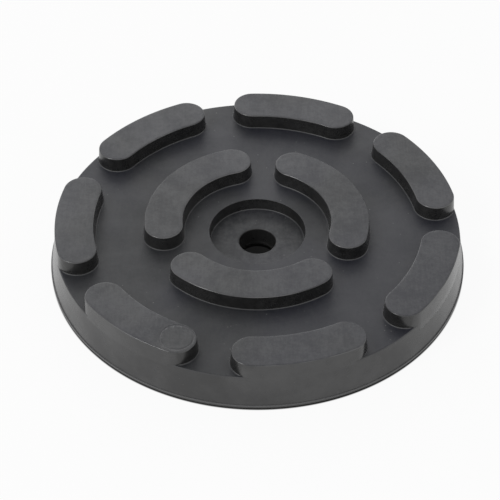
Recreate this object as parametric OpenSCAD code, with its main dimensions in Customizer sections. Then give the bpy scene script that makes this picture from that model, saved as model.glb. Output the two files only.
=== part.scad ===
// Lift arm rubber pad: one moulded rubber disc with a ring of seven grip lugs
// at its edge, three longer lugs round a bolt seat, and one bore through it.
// Units are mm. +Z is up, the underside lies on Z = 0, and the bore is on Z.

/* [Disc] */
// diameter at the widest line, the moulding land
body_d = 150; // [140:1:170]
// height of the plate face above the underside
plate_h = 13.6; // [11:0.1:18]
// how far the plate edge lies inside the widest line
plate_inset = 2.0; // [1.5:0.1:3]
// round on the plate edge
plate_round = 0.5; // [0.3:0.1:0.8]

/* [Moulding land] */
// height of the land's lower edge above the underside
land_z = 1.3; // [1:0.1:2]
// height of the land band
land_h = 1.3; // [0.8:0.1:1.6]
// step from the land in to the sloped side
land_step = 0.22; // [0.1:0.02:0.4]
// how far the underside edge lies inside the land
foot_inset = 0.5; // [0.3:0.1:1]

/* [Bolt seat] */
// diameter of the sunk seat for the bolt head and washer
seat_d = 34.6; // [32:0.1:38]
// depth of the seat below the plate face
seat_depth = 4.8; // [3:0.1:6]
// how much narrower the seat is at its floor, on the radius
seat_draft = 0.12; // [0.05:0.01:0.3]
// fillet at the foot of the seat wall
seat_fillet = 0.4; // [0.2:0.1:0.6]
// diameter of the bore through the pad
bore_d = 13; // [10:0.1:16]
// round at the top of the bore
bore_lip = 0.6; // [0.3:0.1:1]

/* [Grip lugs] */
// height of every lug above the plate face
lug_h = 5.6; // [4:0.1:8]
// how much wider a lug is at its foot, on each side
lug_draft = 0.35; // [0.2:0.05:0.6]
// round on the top edges of the lugs
top_round = 0.45; // [0.3:0.05:0.7]
// fillet where the lugs meet the plate
foot_fillet = 0.45; // [0.3:0.05:0.6]
// angle by which both lug patterns are turned
pattern_turn = 26.1; // [0:0.1:51]

/* [Outer ring] */
// number of lugs in the outer ring
outer_n = 7; // [5:1:7]
// width of an outer lug at its top
outer_w = 13.9; // [11:0.1:15]
// half the angle between the centres of a lug's round ends
outer_half = 14.2; // [10:0.1:15]

/* [Inner ring] */
// number of lugs in the inner ring
inner_n = 3; // [2:1:3]
// radius of the inner lugs' centre line
inner_r = 33.45; // [32:0.05:36]
// width of an inner lug at its top
inner_w = 13.7; // [12:0.1:15]
// half the angle between the centres of a lug's round ends
inner_half = 40; // [34:0.5:42]

/* [Pin mark] */
// diameter of the faint ring that an ejector pin left on one lug
mark_d = 11.8; // [9:0.1:12]
// width of the ring line
mark_w = 0.35; // [0.2:0.05:0.5]
// depth of the ring line
mark_depth = 0.12; // [0.05:0.01:0.3]
// number of the lug that carries it, counted from the first
mark_lug = 4; // [0:1:4]

/* [Hidden] */
$fn = 144;
rubber = [0.22, 0.22, 0.23];
full_turn = 360;
half_turn = 180;
quarter = 90;
// straight chords in a rounded edge, and in a fillet
round_steps = 3;
fillet_steps = 3;
// how far a lug reaches down into the disc
bury = 2.5;
// how far a fillet reaches into the wall and the face that it joins
bite = 0.03;
// how far the outer lugs stand proud of the plate edge
proud = 0.03;
// how much wider the round ends are than the run, so that their walls cross
swell = 0.02;
// clearance that lets a cut pass its face
pass = 1;
// width of the fillet solid behind its curve
fillet_root = 1;
body_r = body_d / 2;
plate_r = body_r - plate_inset;
side_z = land_z + land_h;
side_r = body_r - land_step;
seat_r = seat_d / 2;
seat_floor = plate_h - seat_depth;
bore_r = bore_d / 2;
lug_top = plate_h + lug_h;
outer_foot = outer_w / 2 + lug_draft;
outer_r = plate_r + proud - outer_foot;
flat_r = plate_r - plate_round;
// extra width of a lug per mm below the plate face
spread = lug_draft / lug_h;

// points on an arc about (cx, cz) from angle a0 to angle a1
function arc_points(cx, cz, r, a0, a1, steps) =
    [for (i = [0:steps]) let (a = a0 + (a1 - a0) * i / steps)
        [cx + r * cos(a), cz + r * sin(a)]];

// outward side of a lug above the plate face, from the wall to the middle line
function lug_shoulder(w) =
    arc_points(w / 2 - top_round, lug_top - top_round, top_round, 0, quarter, round_steps);

// curve of a foot fillet from the plate face up to the wall
function foot_curve(w) =
    let (wall = w / 2 + lug_draft)
    concat(
        [[wall + foot_fillet, plate_h - bite]],
        [for (i = [1:fillet_steps - 1])
            let (a = full_turn - quarter - quarter * i / fillet_steps)
            [wall + foot_fillet + foot_fillet * cos(a),
             plate_h + foot_fillet + foot_fillet * sin(a)]],
        [[wall - spread * foot_fillet - bite, plate_h + foot_fillet]]);

// plain drafted side, from below the plate face to the top
function plain_side(w) =
    concat([[w / 2 + lug_draft + spread * bury, plate_h - bury]], lug_shoulder(w));

// side with a fillet at its foot
function filleted_side(w) =
    concat([[w / 2 + lug_draft + foot_fillet, plate_h - bury]], foot_curve(w),
        lug_shoulder(w));

// the same side as a mirrored list, for the inward side of a section
function mirrored(side) =
    [for (i = [len(side) - 1:-1:0]) [-side[i][0], side[i][1]]];

// one drafted, edge-rounded side closed on the middle line
module half_section(side) {
    polygon(concat([[0, plate_h - bury]], side, [[0, lug_top]]));
}

// straight run of a lug along its centre line
module lug_run(rc, half, outward, inward) {
    rotate([0, 0, -half])
        rotate_extrude(angle = 2 * half)
            translate([rc, 0])
                polygon(concat(outward, mirrored(inward)));
}

// round ends of a lug: its half section turned about each end centre
module lug_ends(rc, half) {
    for (side = [-1, 1])
        rotate([0, 0, side * half])
            translate([rc, 0, 0])
                rotate_extrude()
                    children();
}

// solid behind the fillet curve at the round end of an outer lug
module end_fillet_section(w) {
    root = w / 2 - fillet_root;
    polygon(concat([[root, plate_h - bury], [w / 2 + lug_draft + foot_fillet, plate_h - bury]],
        foot_curve(w), [[root, plate_h + foot_fillet]]));
}

// outer lug: its outer wall rises from the plate edge, so it has no fillet there
module outer_lug() {
    lug_run(outer_r, outer_half, plain_side(outer_w), filleted_side(outer_w));
    lug_ends(outer_r, outer_half)
        half_section(plain_side(outer_w + 2 * swell));
    intersection() {
        lug_ends(outer_r, outer_half)
            end_fillet_section(outer_w + 2 * swell);
        cylinder(h = lug_top, r = flat_r - bite);
    }
}

// inner lug: a fillet all round its foot
module inner_lug() {
    lug_run(inner_r, inner_half, filleted_side(inner_w), filleted_side(inner_w));
    lug_ends(inner_r, inner_half)
        half_section(filleted_side(inner_w + 2 * swell));
}

// disc with its land, sloped side, bolt seat and bore, as one turned section
module disc() {
    rotate_extrude()
        polygon(concat(
            [[bore_r, 0], [body_r - foot_inset, 0], [body_r, land_z], [body_r, side_z],
             [side_r, side_z]],
            arc_points(flat_r, plate_h - plate_round, plate_round, 0, quarter, round_steps),
            [[seat_r, plate_h]],
            [for (i = [0:fillet_steps])
                let (a = -quarter * i / fillet_steps)
                [seat_r - seat_draft - seat_fillet + seat_fillet * cos(a),
                 seat_floor + seat_fillet + seat_fillet * sin(a)]],
            arc_points(bore_r + bore_lip, seat_floor - bore_lip, bore_lip,
                quarter, half_turn, round_steps)));
}

// faint ring that an ejector pin left near the end of one lug
module pin_mark() {
    rotate([0, 0, pattern_turn + mark_lug * full_turn / outer_n + outer_half])
        translate([outer_r - mark_w, 0, lug_top - mark_depth])
            difference() {
                cylinder(h = pass, d = mark_d + mark_w);
                translate([0, 0, -pass])
                    cylinder(h = pass * 3, d = mark_d - mark_w);
            }
}

module rubber_pad() {
    color(rubber)
        difference() {
            union() {
                disc();
                for (i = [0:outer_n - 1])
                    rotate([0, 0, pattern_turn + i * full_turn / outer_n])
                        outer_lug();
                for (i = [0:inner_n - 1])
                    rotate([0, 0, pattern_turn + i * full_turn / inner_n])
                        inner_lug();
            }
            pin_mark();
        }
}

rubber_pad();
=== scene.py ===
import bmesh
import bpy
import numpy as np
from mathutils import Matrix, Vector


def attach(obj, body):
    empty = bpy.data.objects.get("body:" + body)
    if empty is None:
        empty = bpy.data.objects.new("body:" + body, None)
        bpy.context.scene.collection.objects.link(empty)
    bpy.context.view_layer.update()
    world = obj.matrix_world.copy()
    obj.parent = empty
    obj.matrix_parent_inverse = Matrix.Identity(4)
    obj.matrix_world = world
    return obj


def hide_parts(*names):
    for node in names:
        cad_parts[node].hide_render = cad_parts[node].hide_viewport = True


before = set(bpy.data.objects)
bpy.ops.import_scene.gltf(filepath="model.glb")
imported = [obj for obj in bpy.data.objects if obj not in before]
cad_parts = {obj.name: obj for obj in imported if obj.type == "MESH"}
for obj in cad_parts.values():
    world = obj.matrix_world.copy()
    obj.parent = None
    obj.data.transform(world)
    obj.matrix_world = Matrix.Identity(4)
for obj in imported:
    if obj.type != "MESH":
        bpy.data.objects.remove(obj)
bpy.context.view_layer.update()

# Disc: the flat body of the pad, black rubber pressed in one mould with all its lugs.
# Its side slopes out to a narrow land low down, where the two mould halves meet, and
# a round seat is sunk in its face for the bolt's head, with a bored hole in the floor.
MM = 0.001
PLATE_H = 13.6 * MM
PLATE_R = 73.0 * MM
PLATE_ROUND = 0.5 * MM
BODY_R = 75.0 * MM
LAND_Z = 1.3 * MM
LAND_H = 0.65 * MM
LAND_STEP = 0.36 * MM
LAND_EDGE = 0.1 * MM
FOOT_INSET = 0.5 * MM
FOOT_EDGE = 0.06 * MM
SEAT_R = 17.3 * MM
SEAT_FLOOR = 8.8 * MM
SEAT_DRAFT = 0.12 * MM
SEAT_FILLET = 0.4 * MM
SEAT_EDGE = 0.12 * MM
BORE_R = 6.5 * MM
BORE_LIP = 0.75 * MM
DISC_STEPS = 432
# Extra rows this far from the step above the land keep its shade apart from its neighbours'.
STEP_ROW = 0.02 * MM
# Points of a seam or a pole that are nearer to each other than this are one point.
SAME_POINT = 1e-7


def arc(cx, cz, radius, start, end, steps):
    """Points (cx + r cos a, cz + r sin a) while angle a runs in degrees from start to end."""
    a = np.radians(np.linspace(start, end, steps + 1))
    return np.column_stack([cx + radius * np.cos(a), cz + radius * np.sin(a)])


def run(start, end, steps):
    """Points evenly spaced on the straight line from start to end, without the end point."""
    t = np.arange(steps)[:, None] / steps
    return np.array(start) * (1 - t) + np.array(end) * t


def turned(section, steps):
    """Every point (r, z) of a closed section carried round Z: (r cos t, r sin t, z)."""
    t = np.linspace(0, 2 * np.pi, steps, endpoint=False)[:, None]
    r, z = section[:, 0][None, :], section[:, 1][None, :]
    return np.stack([r * np.cos(t), r * np.sin(t), np.broadcast_to(z, (steps, len(section)))], -1)


def grid_faces(rows, columns, looped):
    """Four-sided faces of a grid whose rows close on themselves, and its columns too if looped."""
    i, j = np.meshgrid(np.arange(rows), np.arange(columns - (not looped)), indexing="ij")
    a, b = i * columns, (i + 1) % rows * columns
    c, d = j, (j + 1) % columns
    return np.stack([a + c, b + c, b + d, a + d], -1).reshape(-1, 4)


def solid(name, xyz, looped):
    """A closed mesh object from a grid of points, with the doubled points of its seams merged."""
    mesh = bpy.data.meshes.new(name)
    mesh.from_pydata(xyz.reshape(-1, 3), [], grid_faces(*xyz.shape[:2], looped))
    work = bmesh.new()
    work.from_mesh(mesh)
    bmesh.ops.remove_doubles(work, verts=work.verts, dist=SAME_POINT)
    bmesh.ops.dissolve_degenerate(work, edges=work.edges, dist=SAME_POINT)
    bmesh.ops.recalc_face_normals(work, faces=work.faces)
    work.to_mesh(mesh)
    work.free()
    piece = bpy.data.objects.new(name, mesh)
    bpy.context.scene.collection.objects.link(piece)
    return piece


flat_r = PLATE_R - PLATE_ROUND
land_top = LAND_Z + LAND_H
step_r = BODY_R - LAND_STEP
foot_r = BODY_R - FOOT_INSET - FOOT_EDGE
disc_section = np.vstack([
    run([BORE_R, 0], [foot_r, 0], 12),
    arc(foot_r, FOOT_EDGE, FOOT_EDGE, -90, -20, 3),
    run([BODY_R - FOOT_EDGE, LAND_Z - FOOT_EDGE], [BODY_R, LAND_Z + FOOT_EDGE], 1),
    arc(BODY_R - FOOT_EDGE, LAND_Z + FOOT_EDGE, FOOT_EDGE, -20, 0, 2),
    run([BODY_R, LAND_Z + 2 * FOOT_EDGE], [BODY_R, land_top - LAND_EDGE], 2),
    arc(BODY_R - LAND_EDGE, land_top - LAND_EDGE, LAND_EDGE, 0, 90, 4),
    run([BODY_R - 1.2 * LAND_EDGE, land_top], [step_r + STEP_ROW, land_top], 2),
    [[step_r + STEP_ROW, land_top]],
    run([step_r, land_top + STEP_ROW], [PLATE_R, PLATE_H - PLATE_ROUND], 12),
    arc(flat_r, PLATE_H - PLATE_ROUND, PLATE_ROUND, 8, 90, 7),
    run([flat_r - 0.5 * MM, PLATE_H], [SEAT_R + 3 * SEAT_EDGE, PLATE_H], 24),
    arc(SEAT_R + SEAT_EDGE, PLATE_H - SEAT_EDGE, SEAT_EDGE, 90, 180, 4),
    arc(SEAT_R - SEAT_DRAFT - SEAT_FILLET, SEAT_FLOOR + SEAT_FILLET, SEAT_FILLET, 0, -90, 6),
    run([SEAT_R - SEAT_DRAFT - 2 * SEAT_FILLET, SEAT_FLOOR],
        [BORE_R + 2 * BORE_LIP, SEAT_FLOOR], 4),
    arc(BORE_R + BORE_LIP, SEAT_FLOOR - BORE_LIP, BORE_LIP, 90, 180, 7),
    run([BORE_R, SEAT_FLOOR - 2 * BORE_LIP], [BORE_R, 0], 3),
])
pad = solid("rubber_pad_moulding", turned(disc_section, DISC_STEPS), True)

# Grip lugs: seven short blocks on an arc round the pad's edge and three longer ones round the
# seat, moulded on the disc, with drafted walls, full round ends, a rounded top edge and a small
# fillet at the foot. The outer ones rise straight from the disc's edge, with no fillet there.
LUG_H = 5.6 * MM
LUG_DRAFT = 0.35 * MM
LUG_ROUND = 0.4 * MM
LUG_FILLET = 0.45 * MM
LUG_ROOT = 2.5 * MM
LUG_PROUD = 0.03 * MM
OUTER_W = 13.9 * MM
OUTER_HALF = np.radians(14.2)
OUTER_COUNT = 7
OUTER_ALONG = 61
INNER_R = 33.45 * MM
INNER_W = 13.7 * MM
INNER_HALF = np.radians(40.0)
INNER_COUNT = 3
INNER_ALONG = 81
END_STEPS = 39
TURN = np.radians(26.1)
# Degrees by which each outer lug's clockwise and other end lie off their even places, how far
# out it lies, and how far the three inner lugs lie off the middle.
OUTER_ENDS = [(0, 0.3), (0.33, 0.33), (0, -0.18), (0, 0), (-0.35, -0.2), (-0.3, 0), (0.1, 0.7)]
OUTER_OUT = np.array([0.1, 0, 0, 0, 0, 0, 0.2]) * MM
INNER_SHIFT = np.array([-0.25, 0.1]) * MM
# The fillet starts at this many degrees, so that its foot shows as a crease on the plate.
CREASE = 8
# Share of the fillet's width that has to lie on the flat plate, and the least share of its
# radius that is left where the plate ends.
FILLET_REACH = 0.6
LEAST_FILLET = 0.02
ROOT_SPREAD = 0.2 * LUG_ROUND
WALL_ROWS = (0.3, 0.6)
TOP_ROWS = (0.9, 0.75, 0.5, 0.25, 0)
lug_top = PLATE_H + LUG_H
outer_r = PLATE_R + LUG_PROUD - OUTER_W / 2 - LUG_DRAFT


def lug_path(radius, half, along):
    """Closed walk round a slot on an arc: for each step the point on its centre line and the
    direction (cos p, sin p) straight out from there. The walk goes out along the arc from -half
    to half, half a turn about the end centre, back along the arc, and half a turn again."""
    out = np.linspace(-half, half, along)
    turn = np.linspace(0, np.pi, END_STEPS + 2)[1:-1]
    place = np.concatenate([out, np.full(END_STEPS, half), out[::-1], np.full(END_STEPS, -half)])
    facing = np.concatenate([out, half + turn, out[::-1] + np.pi, -half + np.pi + turn])
    centre = radius * np.column_stack([np.cos(place), np.sin(place)])
    return centre, np.column_stack([np.cos(facing), np.sin(facing)])


def lug(name, radius, half, width, along, turn, shift=(0, 0)):
    """Section (distance from the centre line, height) carried round the slot, where the
    distance is that of the drafted wall, w + draft (top - z) / height, with a quarter round at
    the top and a quarter round fillet of its own radius at each place at the foot."""
    centre, facing = lug_path(radius, half, along)
    foot = width / 2 + LUG_DRAFT
    reach = np.hypot(*(centre + facing * (foot + FILLET_REACH * LUG_FILLET)).T)
    fillet = LUG_FILLET * np.clip((flat_r - reach) / LUG_FILLET, LEAST_FILLET, 1)
    sink = fillet * (1 - np.cos(np.radians(CREASE)))
    even = np.zeros_like(fillet)
    root = PLATE_H - LUG_ROOT + even
    rows = [(even, root), (foot + fillet + ROOT_SPREAD, root)]
    for a in np.radians(np.linspace(CREASE, 90, 8)):
        rows.append((foot + fillet * (1 - np.sin(a)), PLATE_H - sink + fillet * (1 - np.cos(a))))
    for share in WALL_ROWS:
        z = PLATE_H + LUG_FILLET + share * (LUG_H - LUG_FILLET - LUG_ROUND)
        rows.append((foot - LUG_DRAFT * (z - PLATE_H) / LUG_H + even, z + even))
    for a in np.radians(np.linspace(0, 90, 7)):
        rows.append((width / 2 - LUG_ROUND * (1 - np.cos(a)) + even,
                     lug_top - LUG_ROUND * (1 - np.sin(a)) + even))
    for share in TOP_ROWS:
        rows.append((share * (width / 2 - LUG_ROUND) + even, lug_top + even))
    out, high = np.array(rows).transpose(1, 2, 0)
    xy = centre[:, None, :] + facing[:, None, :] * out[:, :, None]
    c, s = np.cos(turn), np.sin(turn)
    xyz = np.stack([xy[..., 0] * c - xy[..., 1] * s + shift[0],
                    xy[..., 0] * s + xy[..., 1] * c + shift[1], high], -1)
    return solid(name, xyz, False)


lugs = bpy.data.collections.new("grip_lugs")
bpy.context.scene.collection.children.link(lugs)
made = []
for k, (start, end) in enumerate(np.radians(OUTER_ENDS)):
    turn = TURN + 2 * np.pi * k / OUTER_COUNT + (start + end) / 2
    made.append(lug(f"outer_lug_{k}", outer_r + OUTER_OUT[k], OUTER_HALF + (end - start) / 2,
                    OUTER_W, OUTER_ALONG, turn))
for k in range(INNER_COUNT):
    made.append(lug(f"inner_lug_{k}", INNER_R, INNER_HALF, INNER_W, INNER_ALONG,
                    TURN + 2 * np.pi * k / INNER_COUNT, INNER_SHIFT))
for piece in made:
    bpy.context.scene.collection.objects.unlink(piece)
    lugs.objects.link(piece)

# Pin mark: the faint ring that an ejector pin of the mould pressed into one lug near its end.
# It is a shallow groove with sloped walls, cut into the top of the lug.
MARK_R = 5.75 * MM
MARK_W = 0.36 * MM
MARK_DEPTH = 0.12 * MM
MARK_LUG = 4
MARK_STEPS = 96
groove_section = np.array([
    [MARK_R - MARK_W / 6, lug_top - MARK_DEPTH], [MARK_R + MARK_W / 6, lug_top - MARK_DEPTH],
    [MARK_R + MARK_W / 2, lug_top], [MARK_R + 0.75 * MARK_W, lug_top + MARK_DEPTH],
    [MARK_R - 0.75 * MARK_W, lug_top + MARK_DEPTH], [MARK_R - MARK_W / 2, lug_top]])
mark_at = (TURN + 2 * np.pi * MARK_LUG / OUTER_COUNT + OUTER_HALF
           + np.radians(OUTER_ENDS[MARK_LUG][1]))
mark_x = (outer_r - MARK_W) * np.cos(mark_at)
mark_y = (outer_r - MARK_W) * np.sin(mark_at)
groove = turned(groove_section, MARK_STEPS)
groove[..., 0] += mark_x
groove[..., 1] += mark_y
cutter = solid("pin_mark_cutter", groove, True)

# One moulding: the disc and its ten lugs are a single piece of rubber with one skin, so they
# are united here, the pin mark is cut, and the skin gets even shading across its small rounds.
join = pad.modifiers.new("one_moulding", "BOOLEAN")
join.operation = "UNION"
join.operand_type = "COLLECTION"
join.collection = lugs
join.solver = "MANIFOLD"
cut = pad.modifiers.new("pin_mark", "BOOLEAN")
cut.operation = "DIFFERENCE"
cut.object = cutter
cut.solver = "MANIFOLD"
bpy.context.view_layer.update()
skin = bpy.data.meshes.new_from_object(
    pad.evaluated_get(bpy.context.evaluated_depsgraph_get()))
pad.modifiers.clear()
pad.data = skin
for piece in made + [cutter]:
    bpy.data.objects.remove(piece)
bpy.data.collections.remove(lugs)
skin.shade_smooth()
smooth = pad.modifiers.new("even_shading", "WEIGHTED_NORMAL")
smooth.keep_sharp = True

# Rubber: carbon-black compound with a semi-matt moulded skin. Release powder makes it cloudy,
# handling leaves rub marks and specks, and the top edges of the lugs are rubbed smooth. Their
# pale colour is partly that wear and partly a painted highlight, and the greys of the faces,
# walls, side, bore, fillets and land paint light and shade too, as the notes below say.
RUBBER_IOR = 1.56
RUBBER_SPECULAR = 0.5
# The faces' greys paint light and shade: the plate is darker than the lug tops, a painted shade
# between the lugs, and the sunk seat floor is lighter, a painted light.
LUG_POWDER = 0.034
PLATE_POWDER_AND_SHADE = 0.010
SEAT_POWDER_AND_LIGHT = 0.030
# The walls' greys are a painted shade, and the outer side's greys a painted light.
WALL_SHADE_GREYS = (0.009, 0.028)
SIDE_LIGHT_GREYS = (0.026, 0.056)
# The bore is painted lighter towards its bottom: a painted light where little light reaches.
BORE_LIGHT_GREYS = (0.022, 0.12)
DUST_GREY = 0.14
# Pale top edges: partly rubbed wear, partly a painted highlight on the rounded edges.
WORN_AND_HIGHLIGHT_GREY = 0.13
# A painted highlight on the fillets at the lugs' feet, for the light line they catch.
FOOT_HIGHLIGHT_GREY = 0.05
RING_GREY = 0.075
# A painted highlight on the narrow land, for the light line it catches.
LAND_HIGHLIGHT_GREY = 0.10
# A painted shade on the lowest band of the side, under the land.
BELOW_SHADE_GREY = 0.006
FAINT_BLOOM = (0.0, 0.0008, 0.003, 1)
FULL_BLOOM = (0.0, 0.0008, 0.0062, 1)
TURNING_PITCH = 1.25 * MM
EDGE_GLOSS = 0.17
WAVE_DEPTH = 0.12 * MM
GRAIN_DEPTH = 0.012 * MM
rubber = bpy.data.materials.new("black_rubber")
rubber.use_nodes = True
nodes, links = rubber.node_tree.nodes, rubber.node_tree.links
shader = nodes["Principled BSDF"]
shader.inputs["Specular IOR Level"].default_value = RUBBER_SPECULAR
shader.inputs["IOR"].default_value = RUBBER_IOR
place = nodes.new("ShaderNodeTexCoord")
spot = place.outputs["Object"]


def wired(kind, settings, **sockets):
    """A node of that kind with its settings, whose sockets take either a value or a link. A
    socket is named by its words joined with underscores, or by an underscore and its number."""
    node = nodes.new(kind)
    for name, value in settings.items():
        setattr(node, name, value)
    for name, value in sockets.items():
        socket = node.inputs[int(name[1:]) if name[1:].isdigit() else name.replace("_", " ")]
        if hasattr(value, "is_output"):
            links.new(value, socket)
        else:
            socket.default_value = value
    return node


def noise(scale, detail, roughness=0.5, vector=spot):
    """Cloudy noise with that many features to the metre."""
    return wired("ShaderNodeTexNoise", {}, Vector=vector, Scale=scale, Detail=detail,
                 Roughness=roughness).outputs["Fac"]


def ramp(value, low, high, start=0.0, end=1.0, smooth=True):
    """The value carried from low..high to start..end and held there beyond."""
    kind = "SMOOTHSTEP" if smooth else "LINEAR"
    return wired("ShaderNodeMapRange", {"interpolation_type": kind}, Value=value, From_Min=low,
                 From_Max=high, To_Min=start, To_Max=end).outputs["Result"]


def maths(operation, *values):
    """One step of arithmetic on one or two values."""
    sockets = {f"_{k}": value for k, value in enumerate(values)}
    return wired("ShaderNodeMath", {"operation": operation}, **sockets).outputs[0]


def times(first, *others):
    """The product of all the values."""
    for value in others:
        first = maths("MULTIPLY", first, value)
    return first


def between(share, first, second):
    """The first number, and the second in its place as share goes from 0 to 1."""
    return wired("ShaderNodeMix", {"data_type": "FLOAT"}, _0=share, _2=first,
                 _3=second).outputs[0]


def blended(share, first, second):
    """The first colour, and the second in its place as share goes from 0 to 1."""
    return wired("ShaderNodeMix", {"data_type": "RGBA"}, _0=share, _6=first,
                 _7=second).outputs[2]


def across(kind, **vectors):
    """One step of arithmetic between vectors."""
    return wired("ShaderNodeVectorMath", {"operation": kind}, **vectors)


def grey(level, blue=0.0):
    """A grey of that level with a little more blue in it."""
    return (level, level, level + blue, 1)


# Places on the pad: by the tilt of the skin, by height, and by distance from the two axes.
steep = wired("ShaderNodeSeparateXYZ", {}, Vector=place.outputs["Normal"]).outputs["Z"]
height = wired("ShaderNodeSeparateXYZ", {}, Vector=spot).outputs["Z"]
flat_spot = across("MULTIPLY", _0=spot, _1=(1, 1, 0)).outputs[0]
middle = across("LENGTH", _0=flat_spot).outputs["Value"]
from_mark = across("DISTANCE", _0=flat_spot, _1=(mark_x, mark_y, 0)).outputs["Value"]
level = ramp(steep, 0.3, 0.9)
bent = times(ramp(steep, 0.12, 0.4), ramp(steep, 0.99, 0.8))
on_lug = ramp(height, PLATE_H + 0.5 * MM, PLATE_H + 1.0 * MM)
in_seat = ramp(height, SEAT_FLOOR + 0.6 * MM, SEAT_FLOOR + 0.2 * MM)
in_bore = ramp(middle, BORE_R + 0.4 * MM, BORE_R + 0.1 * MM)
outward = ramp(middle, PLATE_R - 1.2 * MM, PLATE_R - 0.6 * MM)
# The narrow land, where a painted highlight goes.
on_land = times(ramp(height, land_top + 0.1 * MM, land_top),
                ramp(height, land_top - 0.5 * MM, land_top - 0.3 * MM), outward)
# The lowest band of the side, under the land, where a painted shade goes.
below = times(ramp(height, land_top - 0.3 * MM, land_top - 0.5 * MM), outward)
high_edge = times(bent, ramp(height, lug_top - 0.8 * MM, lug_top - 0.4 * MM))
# The fillets at the lugs' feet, in patches, where a painted highlight goes.
foot = times(bent, ramp(height, PLATE_H + 1.0 * MM, PLATE_H + 0.5 * MM),
             ramp(noise(48, 3), 0.38, 0.6, 0.4, 1.0))
on_ring = times(ramp(maths("ABSOLUTE", maths("SUBTRACT", from_mark, MARK_R)),
                     0.24 * MM, 0.1 * MM), on_lug)

# Mottling: clouds of powder, rub marks along the hand's way, fine grain, and the faint rings
# that the turned face of the ejector pin left round the pin mark.
cloud = noise(75, 8, 0.9)
smear = noise(34, 5, 0.7)
along = wired("ShaderNodeMapping", {}, Vector=spot, Rotation=(0, 0, 0.5),
              Scale=(1, 0.12, 1)).outputs[0]
rubs = times(maths("SUBTRACT", noise(1100, 3, 0.7, along), 0.5), 0.22)
fine_grain = times(maths("SUBTRACT", noise(620, 4, 0.8), 0.5), 0.36)
turning = times(maths("SINE", times(from_mark, 2 * np.pi / TURNING_PITCH)),
                ramp(from_mark, 16 * MM, 7 * MM, 0.0, 0.035),
                ramp(from_mark, 5 * MM, 6.2 * MM, 0.25, 1.0), ramp(noise(130, 2), 0.4, 0.6))
mottle = ramp(maths("ADD", maths("ADD", cloud, turning), maths("ADD", fine_grain, rubs)),
              0.34, 0.66)
bloom = blended(ramp(noise(26, 2), 0.4, 0.6), FAINT_BLOOM, FULL_BLOOM)


def powdered(most):
    """Black to that grey by the mottling, with the faint blue of the bloom added."""
    return across("ADD", _0=blended(mottle, grey(0.0), grey(most)), _1=bloom).outputs[0]


# Colour: the powdered faces, the walls and the side first, each with a grey that paints light
# and shade by place and tilt; then the dust, the worn edges (partly real wear, partly a painted
# highlight), a painted highlight at the lugs' feet, the pin mark's ring, a painted highlight on
# the land, a painted shade below it, and a painted light in the bore.
faces = blended(in_seat, blended(on_lug, powdered(PLATE_POWDER_AND_SHADE), powdered(LUG_POWDER)),
                powdered(SEAT_POWDER_AND_LIGHT))
# Painted shade and light by tilt: the walls are painted darker than the faces, and the outer side
# lighter.
shaded_walls = blended(mottle, grey(WALL_SHADE_GREYS[0]), grey(WALL_SHADE_GREYS[1]))
lit_side = blended(ramp(smear, 0.35, 0.65), grey(SIDE_LIGHT_GREYS[0], 0.0005), grey(SIDE_LIGHT_GREYS[1], 0.0005))
black = blended(level, blended(outward, shaded_walls, lit_side), faces)
speck = wired("ShaderNodeTexVoronoi", {"feature": "F1"}, Vector=spot, Scale=420)
dust = times(ramp(speck.outputs["Distance"], 0.12, 0.05), ramp(noise(90, 2), 0.50, 0.62),
             ramp(on_lug, 0.0, 1.0, 0.7, 0.1))
dusty = blended(dust, black, grey(DUST_GREY))
# The rubbed top edges are painted pale: partly wear, partly a painted highlight on the rounds.
rubbed_and_highlit = times(high_edge, ramp(noise(60, 3), 0.38, 0.62, 0.1, 0.8))
worn_and_highlit = blended(rubbed_and_highlit, dusty, grey(WORN_AND_HIGHLIGHT_GREY, 0.003))
# Painted highlight: the fillets at the lugs' feet are painted pale, in patches.
foot_highlit = blended(times(foot, 0.8), worn_and_highlit, grey(FOOT_HIGHLIGHT_GREY, 0.002))
ringed = blended(times(on_ring, 0.6), foot_highlit, grey(RING_GREY, 0.005))
# Painted highlight: the land is painted pale.
land_highlit = blended(on_land, ringed, grey(LAND_HIGHLIGHT_GREY, 0.002))
# Painted shade: the lowest band of the side, under the land, is painted near black.
shaded = blended(below, land_highlit, grey(BELOW_SHADE_GREY))
# Painted light: the bore is painted lighter towards its bottom, where little light reaches.
bore_painted_light = blended(ramp(height, 3.2 * MM, 0.0), grey(BORE_LIGHT_GREYS[0]), grey(BORE_LIGHT_GREYS[1]))
links.new(blended(in_bore, shaded, bore_painted_light), shader.inputs["Base Color"])

# Gloss and skin: walls and worn edges are smoother than the powdered faces, and the skin has
# shallow waves and a fine grain that fades on the walls.
face_gloss = maths("ADD", ramp(smear, 0.3, 0.7, 0.62, 0.50), ramp(on_lug, 0.0, 1.0, 0.0, -0.06))
wall_gloss = ramp(smear, 0.3, 0.7, 0.31, 0.24)
links.new(between(high_edge, between(level, wall_gloss, face_gloss), EDGE_GLOSS),
          shader.inputs["Roughness"])
waves = wired("ShaderNodeBump", {}, Strength=1.0, Distance=WAVE_DEPTH, Height=noise(22, 3))
fine = wired("ShaderNodeBump", {}, Strength=ramp(steep, 0.3, 0.9, 0.25, 1.0),
             Distance=GRAIN_DEPTH, Height=noise(900, 3, 0.6), Normal=waves.outputs[0])
links.new(fine.outputs[0], shader.inputs["Normal"])
skin.materials.clear()
skin.materials.append(rubber)
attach(pad, "root")
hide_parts("rubber_pad")

# Floor: a plain pale table top under the pad. The camera and reflections see it white, but for
# the shadow that the diffuse cover shows. What reflections see of it is a painted shade, a
# little dimmer near the pad and to its right, for the pad's shadow there. Under the pad and in
# a thin ring at its rim it is a painted shadow, dark, which is what the bore shows, and it glows
# faintly everywhere, a painted light, so that the floor seen through the bore is not black.
FLOOR_HALF = 4.0
COVER_ROUGHNESS = 0.9
COVER_GREY = 0.68
CAMERA_SHARE = 0.93
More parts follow.
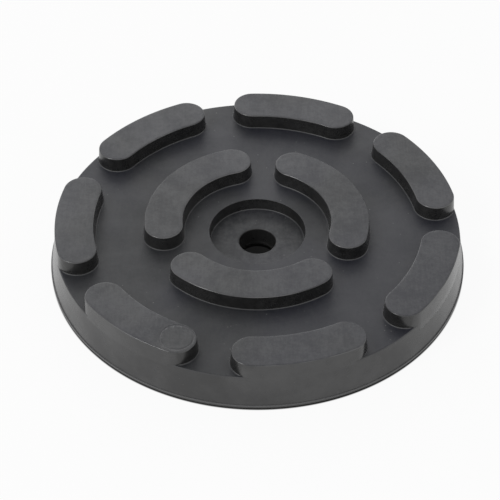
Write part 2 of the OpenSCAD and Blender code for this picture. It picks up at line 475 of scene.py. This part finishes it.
# The floor's faint glow everywhere is a painted light, which the bore shows.
LEAST_PAINTED_GLOW = 0.007
SHADE_R = 75.1 * MM
SHADE_EDGE = 0.4 * MM
floor_mesh = bpy.data.meshes.new("floor")
floor_mesh.from_pydata([(-FLOOR_HALF, -FLOOR_HALF, 0), (FLOOR_HALF, -FLOOR_HALF, 0),
                        (FLOOR_HALF, FLOOR_HALF, 0), (-FLOOR_HALF, FLOOR_HALF, 0)],
                       [], [(0, 1, 2, 3)])
floor = bpy.data.objects.new("floor", floor_mesh)
bpy.context.scene.collection.objects.link(floor)
table = bpy.data.materials.new("pale_table")
table.use_nodes = True
nodes, links = table.node_tree.nodes, table.node_tree.links
where = wired("ShaderNodeTexCoord", {}).outputs["Object"]
radius = across("LENGTH", _0=where).outputs["Value"]
aside = wired("ShaderNodeSeparateXYZ", {}, Vector=where).outputs["X"]
# Painted shadow: inside the pad's rim the floor's colour and glow go dark, darkest under the middle
# of the pad.
open_floor = ramp(radius, SHADE_R - SHADE_EDGE, SHADE_R, smooth=False)
painted_pad_shadow = ramp(radius, 20 * MM, 60 * MM, 0.008, 0.12, smooth=False)
cover = nodes["Principled BSDF"]
cover.inputs["Roughness"].default_value = COVER_ROUGHNESS
cover.inputs["Specular IOR Level"].default_value = 0.0
links.new(maths("ADD", times(open_floor, COVER_GREY), painted_pad_shadow), cover.inputs["Base Color"])
ray = nodes.new("ShaderNodeLightPath")
# Painted shade in reflections: glossy rays see the floor dimmer to the pad's right and near its rim,
# for the pad's shadow there.
mirrored = times(maths("MAXIMUM", ray.outputs["Is Glossy Ray"], ray.outputs["Is Transmission Ray"]),
                 ramp(aside, -30 * MM, 70 * MM, 1.0, 0.88, smooth=False),
                 ramp(radius, 75.5 * MM, 98 * MM, 0.8, 1.0, smooth=False))
seen = maths("ADD", times(ray.outputs["Is Camera Ray"], CAMERA_SHARE), mirrored)
glow = wired("ShaderNodeEmission", {}, Strength=1.0)
blend = wired("ShaderNodeMixShader", {}, Fac=maths("MAXIMUM", times(seen, open_floor), LEAST_PAINTED_GLOW),
              _1=cover.outputs[0], _2=glow.outputs[0])
links.new(blend.outputs[0], nodes["Material Output"].inputs["Surface"])
floor_mesh.materials.append(table)

# Light: a white surround, a broad soft light low behind the pad, and a smaller one high at
# the front left, which draws the bright lines on the rounded edges.
SURROUND = 0.55
BACK_SIZE = 0.9
BACK_LIGHT = 1.8
FRONT_SIZE = 0.42
FRONT_LIGHT = 8.0
world = bpy.data.worlds.new("white_surround")
bpy.context.scene.world = world
world.use_nodes = True
nodes, links = world.node_tree.nodes, world.node_tree.links
around = nodes["Background"]
around.inputs["Color"].default_value = (1, 1, 1, 1)
around.inputs["Strength"].default_value = SURROUND
white = wired("ShaderNodeBackground", {}, Color=(1, 1, 1, 1), Strength=1.0)
ray = nodes.new("ShaderNodeLightPath")
seen = maths("MAXIMUM", maths("MAXIMUM", ray.outputs["Is Camera Ray"], ray.outputs["Is Glossy Ray"]),
             ray.outputs["Is Transmission Ray"])
mixed = wired("ShaderNodeMixShader", {}, Fac=seen, _1=around.outputs[0], _2=white.outputs[0])
links.new(mixed.outputs[0], nodes["World Output"].inputs["Surface"])


def softbox(name, size, radiance, place, aim):
    """A square lamp of that size and radiance, whose power is radiance times pi times its area."""
    lamp = bpy.data.lights.new(name, "AREA")
    lamp.shape = "SQUARE"
    lamp.size = size
    lamp.energy = radiance * np.pi * size ** 2
    box = bpy.data.objects.new(name, lamp)
    turn = (Vector(place) - Vector(aim)).to_track_quat("Z", "Y").to_matrix().to_4x4()
    box.matrix_world = Matrix.Translation(place) @ turn
    box.visible_camera = False
    bpy.context.scene.collection.objects.link(box)


softbox("back_softbox", BACK_SIZE, BACK_LIGHT, (-0.25, 1.25, 0.55), (0, 0, 0))
softbox("front_softbox", FRONT_SIZE, FRONT_LIGHT, (-0.8, -0.5, 0.95), (0, 0, 0))

# Camera: about 43 degrees above the pad's face and 0.72 m away, as in the photo. Its own
# axes point right, up and back.
LENS = 142.6482
SENSOR = 36.0
STAND = (0.002497, -0.528054, 0.495093)
AXES = ((0.999957, 0.009436, -0.000419), (-0.00612, 0.680871, 0.732377),
        (0.007188, -0.732349, 0.680898))
lens = bpy.data.cameras.new("camera")
lens.lens = LENS
lens.sensor_width = SENSOR
camera = bpy.data.objects.new("camera", lens)
camera.matrix_world = Matrix.Translation(STAND) @ Matrix(AXES).transposed().to_4x4()
bpy.context.scene.collection.objects.link(camera)
bpy.context.scene.camera = camera
bpy.context.scene.view_settings.view_transform = "Standard"

bpy.context.view_layer.update()
